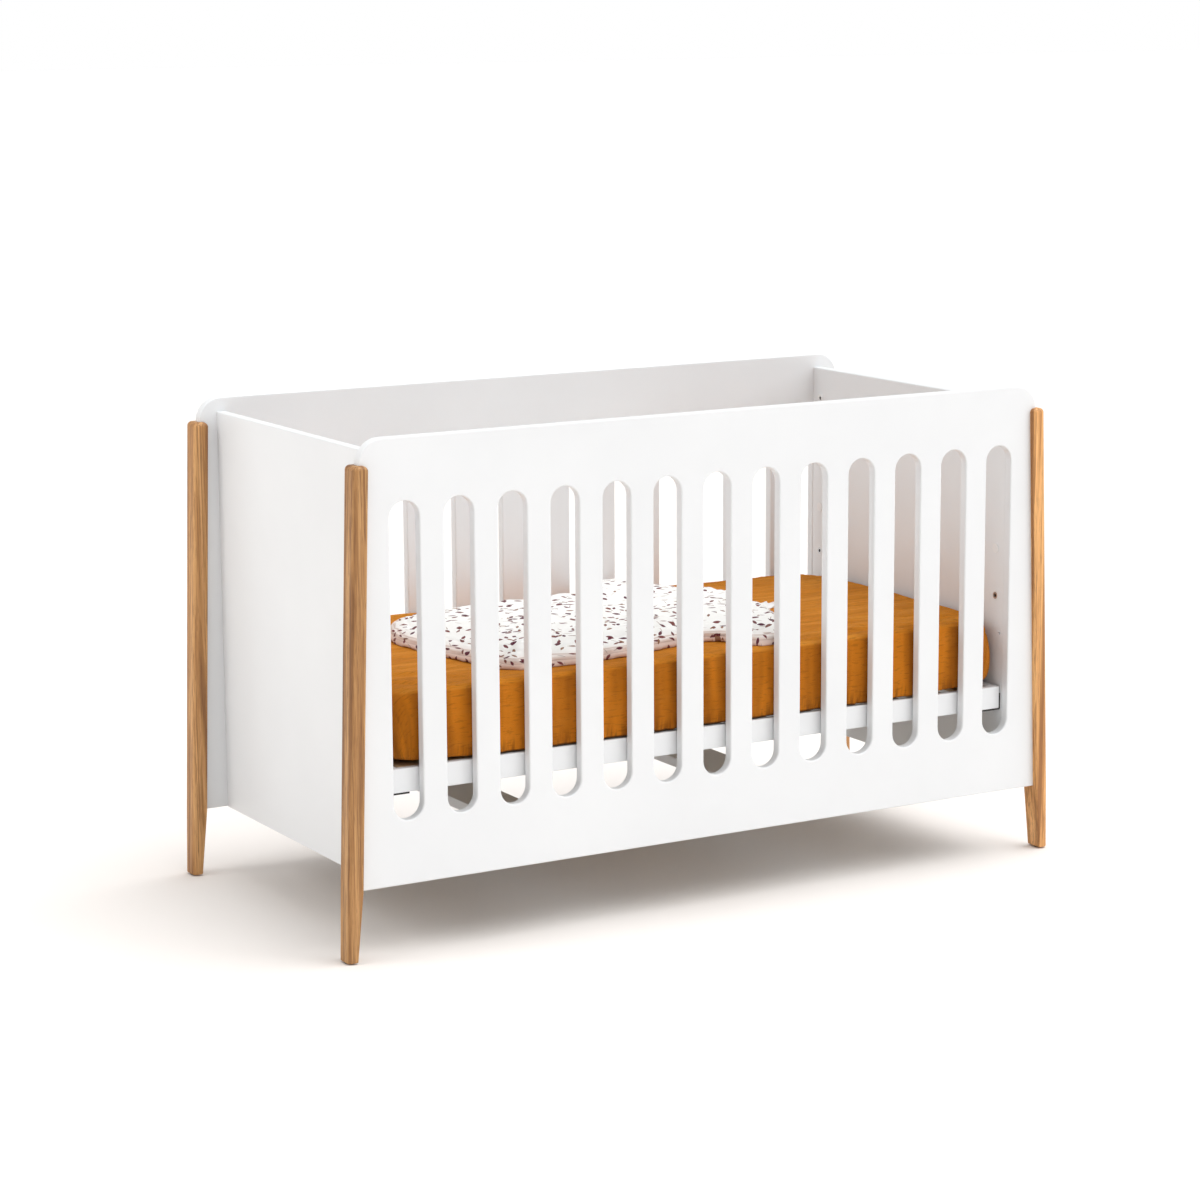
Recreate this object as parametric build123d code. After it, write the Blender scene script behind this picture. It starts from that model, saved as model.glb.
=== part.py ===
from build123d import *
import os

# Baby crib: two slotted side panels, two plain end panels, four splayed oak legs, a slatted
# base on four angle brackets, a mattress with its fitted sheet, and a sleeping bag.
# Millimetres. +X runs along the crib, -Y is the front side, +Z is up.
# The origin is on the floor, in the middle of the crib.

# Space inside the crib
INNER_LENGTH = 1232.0
INNER_WIDTH = 610.0
BOARD = 18.0                        # thickness of every lacquered panel

# Side panels (front and back)
PANEL_BOTTOM = 118.0
PANEL_TOP = 850.0
PANEL_CORNER = 42.0                 # radius of the two upper corners
PANEL_EASE = 2.5                    # rounding of the panel's long edges
SLOT_COUNT = 13
SLOT_PITCH = 98.0
SLOT_WIDTH = 54.0
SLOT_BOTTOM = 225.0
SLOT_TOP = 747.0

# End panels
END_TOP = 825.0

# Legs: the outer side leans outwards from the top to the floor
LEG_TOP = 809.0
LEG_X_FLOOR = 707.0                 # outer side, at the floor
LEG_X_TOP = 680.5                   # outer side, at the leg's top
LEG_WIDTH = 26.0                    # along X, above the shoulder
LEG_DEPTH = 40.0                    # along Y, above the shoulder
FOOT_WIDTH = 19.0
FOOT_DEPTH = 36.0
GROOVE_BACK = 13.0                  # wood left between the groove and the outer side
LEG_ROUND = 9.0                     # outer edges and top
LEG_ROUND_INNER = 3.0
GLIDE = 2.5                         # thickness of the glide under each foot
GLIDE_RADIUS = 7.5
GLIDE_NAIL = (1.2, 12.0)            # radius and length
FOOT_CHAMFER = 1.2

# Stretchers between the side panels, flush with their lower edge
STRETCHER_WIDTH = 97.0
STRETCHER_X = 247.0
BOARD_EASE = 1.5                    # rounding of the stretchers' and the rails' long edges

# Slatted base
RAIL_HEIGHT = 40.0
RAIL_BOTTOM = 266.0
RAIL_THICK = 25.0
END_RAIL_THICK = 18.0
BASE_LENGTH = 1225.0
BASE_WIDTH = 604.0
SLAT_COUNT = 13
SLAT_PITCH = 93.0
SLAT = (60.0, 582.0, 7.0)
SLAT_EASE = 2.0
SCREW = (1.8, 20.0)                 # radius and length
SCREW_HEAD = (3.8, 2.0)             # radius and height of the countersunk head
SCREW_SUNK = 1.0                    # depth of the head below the slat's top

# Angle brackets and the rows of inserts that set the height of the base
BRACKET_FOOT = 40.0                 # leaf under the base
BRACKET_LEAF = 30.0                 # leaf up the end panel
BRACKET_WIDTH = 40.0
BRACKET_STEEL = 3.0
HEIGHT_STEP = 188.0
FIXING_INSET = 24.0                 # from a side panel's inner face to the fixings' centre
INSERT_ROWS = (0, 1)                # in steps from the row in use
INSERT_RADIUS = 5.0
INSERT_LENGTH = 13.0
INSERT_FLANGE = (6.5, 1.0)          # radius and thickness
BOLT_RADIUS = 3.0
BOLT_LENGTH = 14.0
BOLT_HEAD_RADIUS = 5.0
BOLT_KEY = (1.8, 1.5)               # radius and depth of the key's recess
PILOT_HEIGHT = 402.0                # small blind holes for an accessory
PILOT_INSET = 9.0                   # from a side panel's inner face
PILOT_RADIUS = 2.5
PILOT_DEPTH = 8.0

# Cam fittings that draw the end panels to the side panels
CAM_HEIGHTS = (150.0, 555.0, 767.0)
CAM_RADIUS = 7.5
CAM_DEPTH = 13.0
CAM_SOCKET = (3.0, 5.0)             # radius and depth of the key's socket
CAM_CAP = (8.5, 1.2)                # radius and thickness
CAM_CAP_HOLE = 3.6                  # radius, in the highest caps only
PIN_RADIUS = 3.5
PIN_IN_PANEL = 11.0
PIN_PAST_CAM = 2.0                  # length beyond the cam's centre

# Beech dowels
DOWEL_RADIUS = 4.0
DOWEL_IN_FACE = 12.0                # into the face of a side panel
DOWEL_IN_EDGE = 28.0                # into the edge of the board that meets it
LEG_DOWEL_HEIGHTS = (200.0, 460.0, 720.0)
LEG_DOWEL_IN_LEG = 8.0
END_DOWEL_HEIGHTS = (235.0, 650.0)
STRETCHER_DOWEL_INSET = 18.0        # from the stretcher's long edge
BASE_DOWEL_RADIUS = 3.0
BASE_DOWEL = (20.0, 15.0)           # length in an end rail and in a long rail
BASE_DOWEL_HEIGHTS = (12.0, 28.0)   # over the rail's lower side

# Bedding
MATTRESS = (1200.0, 600.0, 125.0)   # over the fitted sheet
MATTRESS_CORNER = 35.0
MATTRESS_EDGE = 16.0
SHEET = 1.2
BAG_GAP = 0.5
BAG_THICK = 32.0
BAG_EDGE = 12.0
BAG_CORNER = 17.0
RUFFLE_THICK = 8.0
RUFFLE_WIDTH = 22.0
RUFFLE_EDGE = 2.5
RUFFLES = {"back": (62.0, 106.0), "front": (-72.0, -28.0)}     # Y from and to
NECK_X = 278.0                      # the bag's neck end

SIDE_Y = INNER_WIDTH / 2 + BOARD / 2            # middle of a side panel
END_X = INNER_LENGTH / 2 + BOARD / 2            # middle of an end panel
LEG_LEAN = (LEG_X_FLOOR - LEG_X_TOP) / LEG_TOP
RAIL_TOP = RAIL_BOTTOM + RAIL_HEIGHT
RAIL_INNER_Y = BASE_WIDTH / 2 - RAIL_THICK
MATTRESS_BOTTOM = RAIL_TOP                      # the slats lie flush with the rails
MATTRESS_TOP = MATTRESS_BOTTOM + MATTRESS[2]
BOLT_Z = RAIL_BOTTOM + BRACKET_LEAF / 2
FIXING_Y = INNER_WIDTH / 2 - FIXING_INSET

SIDES = (("front", -1), ("back", 1))
ENDS = (("left", -1), ("right", 1))


def leg_outer(z):
    """X of a leg's outer side at height z, on the right-hand end."""
    return LEG_X_FLOOR - LEG_LEAN * z


def panel_end(z):
    """X of a side panel's end at height z: the bottom of the leg's groove."""
    return leg_outer(z) - GROOVE_BACK


def rod_x(radius, x0, x1, y, z):
    """Round bar along X between x0 and x1."""
    return Pos((x0 + x1) / 2, y, z) * Rot(0, 90, 0) * Cylinder(radius, abs(x1 - x0))


def rod_y(radius, x, y0, y1, z):
    """Round bar along Y between y0 and y1."""
    return Pos(x, (y0 + y1) / 2, z) * Rot(90, 0, 0) * Cylinder(radius, abs(y1 - y0))


def block(x0, x1, y0, y1, z0, z1):
    """Block between two corners."""
    middle = ((x0 + x1) / 2, (y0 + y1) / 2, (z0 + z1) / 2)
    return Pos(*middle) * Box(abs(x1 - x0), abs(y1 - y0), abs(z1 - z0))


def along_y(points, depth):
    """Prism of an XZ outline, centred on Y = 0."""
    return extrude(Plane.XZ * make_face(Polyline(*points, close=True)), depth / 2, both=True)


def corners():
    """Sign pairs (x, y) of the four corners, with their names."""
    for side, sy in SIDES:
        for end, sx in ENDS:
            yield f"{side}_{end}", sx, sy


# ---- wooden dowels ----

def leg_dowels():
    bars = []
    for _, sx, sy in corners():
        for z in LEG_DOWEL_HEIGHTS:
            end = panel_end(z)
            bars.append(rod_x(DOWEL_RADIUS, sx * (end - DOWEL_IN_EDGE), sx * (end + LEG_DOWEL_IN_LEG),
                              sy * SIDE_Y, z))
    return bars


def face_dowel(x, sy, z):
    """Dowel from a board's edge into the inner face of a side panel."""
    face = INNER_WIDTH / 2
    return rod_y(DOWEL_RADIUS, x, sy * (face - DOWEL_IN_EDGE), sy * (face + DOWEL_IN_FACE), z)


def end_panel_dowels():
    return [face_dowel(sx * END_X, sy, z) for _, sx, sy in corners() for z in END_DOWEL_HEIGHTS]


def stretcher_dowels():
    offset = STRETCHER_WIDTH / 2 - STRETCHER_DOWEL_INSET
    return [face_dowel(sx * STRETCHER_X + dx, sy, PANEL_BOTTOM + BOARD / 2)
            for _, sx, sy in corners() for dx in (-offset, offset)]


def base_dowels():
    """Dowels between the base's end rails and its long rails."""
    x = BASE_LENGTH / 2 - END_RAIL_THICK / 2
    y0, y1 = RAIL_INNER_Y - BASE_DOWEL[0], RAIL_INNER_Y + BASE_DOWEL[1]
    return [rod_y(BASE_DOWEL_RADIUS, sx * x, sy * y0, sy * y1, RAIL_BOTTOM + height)
            for _, sx, sy in corners() for height in BASE_DOWEL_HEIGHTS]


# ---- cam fittings, inserts and bolts in the end panels ----

def cam_places():
    for _, sx, sy in corners():
        for z in CAM_HEIGHTS:
            yield sx, sy, z


def cam_pins():
    """Steel pins screwed into the side panels, with their heads in the cams."""
    start = FIXING_Y - PIN_PAST_CAM
    end = INNER_WIDTH / 2 + PIN_IN_PANEL
    return [rod_y(PIN_RADIUS, sx * END_X, sy * start, sy * end, z) for sx, sy, z in cam_places()]


def cam_bores():
    face = INNER_LENGTH / 2
    return [rod_x(CAM_RADIUS, sx * face, sx * (face + CAM_DEPTH), sy * FIXING_Y, z)
            for sx, sy, z in cam_places()]


def cam_housings():
    """Round cams, each with a socket for its key and a bore for its pin."""
    face = INNER_LENGTH / 2
    radius, depth = CAM_SOCKET
    cams = []
    for bore, pin, (sx, sy, z) in zip(cam_bores(), cam_pins(), cam_places()):
        socket = rod_x(radius, sx * face, sx * (face + depth), sy * FIXING_Y, z)
        cams.append(bore - socket - pin)
    return cams


def cam_caps():
    """Thin caps over the cams. The highest ones have a hole for the key."""
    radius, thick = CAM_CAP
    face = INNER_LENGTH / 2
    caps = []
    for sx, sy, z in cam_places():
        cap = rod_x(radius, sx * (face - thick), sx * face, sy * FIXING_Y, z)
        if z == max(CAM_HEIGHTS):
            cap -= rod_x(CAM_CAP_HOLE, sx * (face - thick), sx * face, sy * FIXING_Y, z)
        caps.append(cap)
    return caps


def pilot_holes():
    face = INNER_LENGTH / 2
    y = INNER_WIDTH / 2 - PILOT_INSET
    return [rod_x(PILOT_RADIUS, sx * face, sx * (face + PILOT_DEPTH), sy * y, PILOT_HEIGHT)
            for _, sx, sy in corners()]


def insert_places():
    for _, sx, sy in corners():
        for row in INSERT_ROWS:
            yield sx, sy, BOLT_Z + row * HEIGHT_STEP


def insert_bores():
    """The stepped holes that the threaded inserts fill."""
    face = INNER_LENGTH / 2
    radius, thick = INSERT_FLANGE
    return [rod_x(INSERT_RADIUS, sx * face, sx * (face + INSERT_LENGTH), sy * FIXING_Y, z)
            + rod_x(radius, sx * face, sx * (face + thick), sy * FIXING_Y, z)
            for sx, sy, z in insert_places()]


def threaded_inserts():
    face = INNER_LENGTH / 2
    bores = [rod_x(BOLT_RADIUS, sx * face, sx * (face + INSERT_LENGTH), sy * FIXING_Y, z)
             for sx, sy, z in insert_places()]
    return [insert - bore for insert, bore in zip(insert_bores(), bores)]


def bolt_space(sx, sy):
    """The countersunk bolt's outer shape; its head is flush with the bracket."""
    x0 = INNER_LENGTH / 2 - BRACKET_STEEL
    shank = rod_x(BOLT_RADIUS, sx * x0, sx * (x0 + BOLT_LENGTH), sy * FIXING_Y, BOLT_Z)
    head = Pos(sx * (x0 + BRACKET_STEEL / 2), sy * FIXING_Y, BOLT_Z) * Rot(0, sx * 90, 0) * Cone(
        BOLT_HEAD_RADIUS, BOLT_RADIUS, BRACKET_STEEL)
    return shank + head


def bracket_bolt(sx, sy):
    """The bolt with the recess for its hexagon key."""
    radius, depth = BOLT_KEY
    x0 = INNER_LENGTH / 2 - BRACKET_STEEL
    return bolt_space(sx, sy) - rod_x(radius, sx * x0, sx * (x0 + depth), sy * FIXING_Y, BOLT_Z)


def bracket(sx, sy):
    """Angle bracket under one corner of the base, against the end panel."""
    outer = INNER_LENGTH / 2
    low = RAIL_BOTTOM - BRACKET_STEEL
    profile = [(sx * outer, low), (sx * outer, low + BRACKET_LEAF),
               (sx * (outer - BRACKET_STEEL), low + BRACKET_LEAF),
               (sx * (outer - BRACKET_STEEL), RAIL_BOTTOM),
               (sx * (outer - BRACKET_FOOT), RAIL_BOTTOM), (sx * (outer - BRACKET_FOOT), low)]
    angle = Pos(0, sy * FIXING_Y, 0) * along_y(profile, BRACKET_WIDTH)
    heel = angle.edges().filter_by(Axis.Y).group_by(Axis.Z)[0].sort_by(lambda e: -sx * e.center().X)[0]
    return fillet(heel, BRACKET_STEEL * 0.9) - bolt_space(sx, sy)


# ---- panels ----

def side_panel(sy):
    """Slotted panel whose ends follow the lean of the legs."""
    outline = Polyline((-panel_end(PANEL_BOTTOM), PANEL_BOTTOM), (panel_end(PANEL_BOTTOM), PANEL_BOTTOM),
                       (panel_end(PANEL_TOP), PANEL_TOP), (-panel_end(PANEL_TOP), PANEL_TOP), close=True)
    face = make_face(outline)
    face = fillet(face.vertices().group_by(Axis.Y)[-1], PANEL_CORNER)
    slot = Rot(0, 0, 90) * SlotOverall(SLOT_TOP - SLOT_BOTTOM, SLOT_WIDTH)
    for i in range(SLOT_COUNT):
        face -= Pos((i - (SLOT_COUNT - 1) / 2) * SLOT_PITCH, (SLOT_BOTTOM + SLOT_TOP) / 2) * slot
    panel = extrude(Plane.XZ * face, BOARD / 2, both=True)
    rims = [f.edges() for f in panel.faces().filter_by(Axis.Y)]
    panel = fillet([e for rim in rims for e in rim], PANEL_EASE)
    panel = Pos(0, sy * SIDE_Y, 0) * panel
    return panel.cut(*leg_dowels(), *end_panel_dowels(), *stretcher_dowels(), *cam_pins())


def end_panel(sx):
    half = INNER_WIDTH / 2
    face = INNER_LENGTH / 2
    panel = block(sx * face, sx * (face + BOARD), -half, half, PANEL_BOTTOM, END_TOP)
    panel = fillet(panel.edges().filter_by(Axis.Y).group_by(Axis.Z)[-1], PANEL_EASE)
    return panel.cut(*end_panel_dowels(), *cam_pins(), *cam_bores(), *insert_bores(), *pilot_holes())


def stretcher(sx):
    half = INNER_WIDTH / 2
    board = block(sx * STRETCHER_X - STRETCHER_WIDTH / 2, sx * STRETCHER_X + STRETCHER_WIDTH / 2,
                  -half, half, PANEL_BOTTOM, PANEL_BOTTOM + BOARD)
    board = fillet(board.edges().filter_by(Axis.Y), BOARD_EASE)
    return board.cut(*stretcher_dowels())


# ---- legs ----

def leg(sx, sy):
    """Leg that holds a side panel's end in a groove and carries it on a shoulder."""
    front = along_y([(leg_outer(GLIDE), GLIDE), (leg_outer(LEG_TOP), LEG_TOP),
                     (leg_outer(LEG_TOP) - LEG_WIDTH, LEG_TOP),
                     (leg_outer(PANEL_BOTTOM) - LEG_WIDTH, PANEL_BOTTOM),
                     (leg_outer(GLIDE) - FOOT_WIDTH, GLIDE)], LEG_DEPTH)
    foot, full = FOOT_DEPTH / 2, LEG_DEPTH / 2
    side = make_face(Polyline((-foot, GLIDE), (foot, GLIDE), (full, PANEL_BOTTOM), (full, LEG_TOP),
                              (-full, LEG_TOP), (-full, PANEL_BOTTOM), close=True))
    post = front & extrude(Plane.YZ * side, 2 * LEG_X_FLOOR)
    upright = [e for e in post.edges() if abs(e.tangent_at(0.5).Z) > 0.9]
    outer = [e for e in upright if e.center().X > leg_outer(e.center().Z) - 1]
    inner = [e for e in upright if e.center().X < leg_outer(e.center().Z) - FOOT_WIDTH / 2]
    post = fillet(outer, LEG_ROUND)
    post = fillet([e for e in post.edges() if any(
        (e.center() - i.center()).length < 1 for i in inner)], LEG_ROUND_INNER)
    post = fillet(post.faces().sort_by(Axis.Z)[-1].edges(), LEG_ROUND - 1)
    post = chamfer(post.faces().sort_by(Axis.Z)[0].edges(), FOOT_CHAMFER)
    groove = along_y([(panel_end(PANEL_BOTTOM), PANEL_BOTTOM), (panel_end(PANEL_TOP), PANEL_TOP),
                      (panel_end(PANEL_TOP) - 2 * LEG_WIDTH, PANEL_TOP),
                      (panel_end(PANEL_TOP) - 2 * LEG_WIDTH, PANEL_BOTTOM)], BOARD)
    post = Pos(0, sy * SIDE_Y, 0) * (post - groove)
    if sx < 0:
        post = mirror(post, Plane.YZ)
    return post.cut(*leg_dowels(), *foot_glides())


def foot_glides():
    """A nailed disc under each foot."""
    radius, length = GLIDE_NAIL
    glides = []
    for _, sx, sy in corners():
        x = sx * (LEG_X_FLOOR - FOOT_WIDTH / 2)
        disc = Pos(x, sy * SIDE_Y, GLIDE / 2) * Cylinder(GLIDE_RADIUS, GLIDE)
        nail = Pos(x, sy * SIDE_Y, GLIDE + length / 2) * Cylinder(radius, length)
        glides.append(fillet(disc.edges().group_by(Axis.Z)[0], 1) + nail)
    return glides


# ---- slatted base ----

def base_long_rail(sy):
    """Long rail, with a rebate along its inner top edge for the slats' ends."""
    rail = block(-BASE_LENGTH / 2, BASE_LENGTH / 2, sy * RAIL_INNER_Y, sy * BASE_WIDTH / 2,
                 RAIL_BOTTOM, RAIL_TOP)
    rail = fillet(rail.edges().filter_by(Axis.X), BOARD_EASE)
    end = BASE_LENGTH / 2 - END_RAIL_THICK
    rebate = block(-end, end, sy * RAIL_INNER_Y, sy * SLAT[1] / 2, RAIL_TOP - SLAT[2], RAIL_TOP)
    return rail.cut(rebate, *base_dowels(), *slat_screws())


def base_end_rail(sx):
    x0, x1 = sx * (BASE_LENGTH / 2 - END_RAIL_THICK), sx * BASE_LENGTH / 2
    return block(x0, x1, -RAIL_INNER_Y, RAIL_INNER_Y, RAIL_BOTTOM, RAIL_TOP).cut(*base_dowels())


def slat_x(i):
    return (i - (SLAT_COUNT - 1) / 2) * SLAT_PITCH


def slat_screws():
    """One countersunk screw at each end of every slat."""
    y = (RAIL_INNER_Y + SLAT[1] / 2) / 2
    radius, length = SCREW
    head_radius, head = SCREW_HEAD
    screws = []
    for i in range(SLAT_COUNT):
        for _, sy in SIDES:
            place = Pos(slat_x(i), sy * y, RAIL_TOP - SCREW_SUNK)
            shank = Pos(0, 0, -length / 2) * Cylinder(radius, length)
            cone = Pos(0, 0, -head / 2) * Cone(radius, head_radius, head)
            screws.append(place * (shank + cone))
    return screws


def slat(i):
    width, length, thick = SLAT
    board = Pos(slat_x(i), 0, RAIL_TOP - thick / 2) * Box(width, length, thick)
    board = fillet(board.edges().filter_by(Axis.Y), SLAT_EASE)
    y = (RAIL_INNER_Y + length / 2) / 2
    wells = [Pos(slat_x(i), sy * y, RAIL_TOP - SCREW_SUNK / 2) * Cylinder(SCREW_HEAD[0], SCREW_SUNK)
             for _, sy in SIDES]
    return board.cut(*slat_screws()[2 * i:2 * i + 2], *wells)


# ---- bedding ----

def padded_block(length, width, bottom, top, corner, edge):
    """Block with rounded corners and a rounded upper rim."""
    middle = (bottom + top) / 2
    pad = Pos(0, 0, middle) * Box(length, width, top - bottom)
    pad = fillet(pad.edges().filter_by(Axis.Z), corner)
    return fillet(pad.edges().group_by(Axis.Z)[-1], edge)


def mattress():
    return padded_block(MATTRESS[0] - 2 * SHEET, MATTRESS[1] - 2 * SHEET, MATTRESS_BOTTOM,
                        MATTRESS_TOP - SHEET, MATTRESS_CORNER - SHEET, MATTRESS_EDGE - SHEET)


def fitted_sheet():
    """The sheet's skin over the mattress's top and sides."""
    cover = padded_block(MATTRESS[0], MATTRESS[1], MATTRESS_BOTTOM, MATTRESS_TOP, MATTRESS_CORNER,
                         MATTRESS_EDGE)
    return cover - mattress()


def sleeping_bag():
    """Flat padded bag: its foot end is to the left, its two short sleeves spread near the neck."""
    foot = [(-385, 180), (-428, 70), (-420, -20), (-376, -225), (-345, -262), (-240, -268)]
    front = [(-17, -224), (70, -212), (88, -303), (182, -303), (NECK_X, -75)]
    back = [(NECK_X, 110), (215, 165), (200, 232), (165, 303), (75, 303), (15, 205), (-310, 215)]
    face = make_face(Polyline(*foot, *front, *back, close=True))
    face = fillet(face.vertices(), BAG_CORNER)
    low = MATTRESS_TOP + BAG_GAP
    bag = extrude(Pos(0, 0, low) * face, BAG_THICK)
    return fillet(bag.faces().filter_by(Axis.Z).edges(), BAG_EDGE)


def ruffle(y0, y1):
    """Gathered trim along part of the bag's neck end."""
    x0 = NECK_X + 0.3
    low = MATTRESS_TOP + BAG_GAP + BAG_THICK / 2 - RUFFLE_THICK / 2
    strip = block(x0, x0 + RUFFLE_WIDTH, y0, y1, low, low + RUFFLE_THICK)
    return fillet(strip.edges(), RUFFLE_EDGE)


def write(name, *solids):
    shape = solids[0] if len(solids) == 1 else Compound(children=list(solids))
    shape.label = name
    export_step(shape, f"parts/{name}.step")


def main():
    os.makedirs("parts", exist_ok=True)
    for side, sy in SIDES:
        write(f"{side}_panel", side_panel(sy))
        write(f"base_{side}_rail", base_long_rail(sy))
    for end, sx in ENDS:
        write(f"{end}_end_panel", end_panel(sx))
        write(f"stretcher_{end}", stretcher(sx))
        write(f"base_{end}_rail", base_end_rail(sx))
    for name, sx, sy in corners():
        write(f"leg_{name}", leg(sx, sy))
        write(f"bracket_{name}", bracket(sx, sy))
    for i in range(SLAT_COUNT):
        write(f"slat_{i + 1:02d}", slat(i))
    write("bracket_bolts", *[bracket_bolt(sx, sy) for _, sx, sy in corners()])
    write("threaded_inserts", *threaded_inserts())
    write("cam_housings", *cam_housings())
    write("cam_pins", *cam_pins())
    write("cam_caps", *cam_caps())
    write("leg_dowels", *leg_dowels())
    write("end_panel_dowels", *end_panel_dowels())
    write("stretcher_dowels", *stretcher_dowels())
    write("base_dowels", *base_dowels())
    write("slat_screws", *slat_screws())
    write("foot_glides", *foot_glides())
    write("mattress", mattress())
    write("fitted_sheet", fitted_sheet())
    write("sleeping_bag", sleeping_bag())
    for side, (y0, y1) in RUFFLES.items():
        write(f"bag_ruffle_{side}", ruffle(y0, y1))


main()
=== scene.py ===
import math

import bpy
import numpy as np
from mathutils import Matrix, Vector, noise


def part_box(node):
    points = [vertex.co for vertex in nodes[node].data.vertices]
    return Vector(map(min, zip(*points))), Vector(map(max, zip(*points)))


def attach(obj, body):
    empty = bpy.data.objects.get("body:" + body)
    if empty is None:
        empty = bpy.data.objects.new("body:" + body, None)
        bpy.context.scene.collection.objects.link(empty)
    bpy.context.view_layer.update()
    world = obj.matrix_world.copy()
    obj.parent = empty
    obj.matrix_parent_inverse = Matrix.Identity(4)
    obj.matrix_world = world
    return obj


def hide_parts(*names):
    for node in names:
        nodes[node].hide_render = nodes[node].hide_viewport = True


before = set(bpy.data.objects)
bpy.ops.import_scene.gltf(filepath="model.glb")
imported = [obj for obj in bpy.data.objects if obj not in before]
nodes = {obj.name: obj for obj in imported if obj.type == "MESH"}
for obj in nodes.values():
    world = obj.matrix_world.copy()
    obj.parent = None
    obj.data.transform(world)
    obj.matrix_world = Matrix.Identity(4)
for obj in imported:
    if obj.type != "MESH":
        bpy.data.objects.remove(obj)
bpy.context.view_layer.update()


# ---------------------------------------------------------------- camera, floor and light

CAMERA_PLACE = (-2.8701, -4.8671, 1.5366)
CAMERA_YAW, CAMERA_PITCH, CAMERA_ROLL = map(math.radians, (-30.16, -10.62, -0.336))
CAMERA_LENS = 97.06
SENSOR = 36
AMBIENT = 0.62
AMBIENT_FROM = (0.31, 0.06, 0.36)     # half as bright again towards the upper right
AMBIENT_COLOUR = (1.0, 0.985, 0.975, 1)
DOME_POWER = 1.9
DOME_FROM = (0.46, -0.29, 1.0)
DOME_SPREAD = math.radians(64)
DOME_COLOUR = (0.985, 0.992, 1.0)
LIT_POINT = (0, 0, 0.45)
# name, place, size, power and colour
SOFTBOXES = (
    ("front", (2.3, -3.9, 1.6), 0.7, 12, (0.95, 0.98, 1.0)),
    ("side", (-3.9, 0.35, 2.9), 2.4, 40, (1.0, 0.99, 0.97)),
)
FLOOR_HALF = 60


def make_camera():
    data = bpy.data.cameras.new("camera")
    data.lens = CAMERA_LENS
    data.sensor_width = SENSOR
    data.clip_end = 200
    camera = bpy.data.objects.new("camera", data)
    bpy.context.scene.collection.objects.link(camera)
    turn = Matrix.Rotation(CAMERA_YAW, 4, "Z") @ Matrix.Rotation(math.pi / 2 + CAMERA_PITCH, 4, "X")
    camera.matrix_world = Matrix.Translation(CAMERA_PLACE) @ turn @ Matrix.Rotation(CAMERA_ROLL, 4, "Z")
    bpy.context.scene.camera = camera


def softbox(name, place, size, power, colour):
    data = bpy.data.lights.new(name, "AREA")
    data.shape = "DISK"
    data.size = size
    data.energy = power
    data.color = colour
    light = bpy.data.objects.new(name, data)
    light.location = place
    light.rotation_euler = (Vector(LIT_POINT) - Vector(place)).to_track_quat("-Z", "Y").to_euler()
    bpy.context.scene.collection.objects.link(light)


def dome():
    """One very wide sun, as a large softbox overhead gives."""
    data = bpy.data.lights.new("dome", "SUN")
    data.energy = DOME_POWER
    data.angle = DOME_SPREAD
    data.color = DOME_COLOUR
    light = bpy.data.objects.new("dome", data)
    light.rotation_euler = Vector(DOME_FROM).to_track_quat("Z", "Y").to_euler()
    bpy.context.scene.collection.objects.link(light)


def make_world():
    """Nearly white surroundings, brighter on one side; the backdrop itself is pure white."""
    world = bpy.data.worlds.new("studio")
    world.use_nodes = True
    tree = world.node_tree
    place = tree.nodes.new("ShaderNodeTexCoord")
    toward = tree.nodes.new("ShaderNodeVectorMath")
    toward.operation = "DOT_PRODUCT"
    toward.inputs[1].default_value = AMBIENT_FROM
    tree.links.new(place.outputs["Generated"], toward.inputs[0])
    strength = tree.nodes.new("ShaderNodeMath")
    strength.operation = "MULTIPLY_ADD"
    strength.inputs[1].default_value = AMBIENT
    strength.inputs[2].default_value = AMBIENT
    tree.links.new(toward.outputs["Value"], strength.inputs[0])
    sky = tree.nodes["Background"]
    sky.inputs["Color"].default_value = AMBIENT_COLOUR
    tree.links.new(strength.outputs[0], sky.inputs["Strength"])
    backdrop = tree.nodes.new("ShaderNodeBackground")
    backdrop.inputs["Color"].default_value = (1, 1, 1, 1)
    seen = tree.nodes.new("ShaderNodeLightPath")
    mix = tree.nodes.new("ShaderNodeMixShader")
    tree.links.new(seen.outputs["Is Camera Ray"], mix.inputs[0])
    tree.links.new(sky.outputs[0], mix.inputs[1])
    tree.links.new(backdrop.outputs[0], mix.inputs[2])
    tree.links.new(mix.outputs[0], tree.nodes["World Output"].inputs["Surface"])
    bpy.context.scene.world = world


def make_lights():
    """The surroundings, a dome overhead, and softboxes at the front right and high at the left."""
    bpy.context.scene.view_settings.view_transform = "Standard"
    make_world()
    dome()
    for name, place, size, power, colour in SOFTBOXES:
        softbox(name, place, size, power, colour)


# ---------------------------------------------------------------- material helpers

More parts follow.
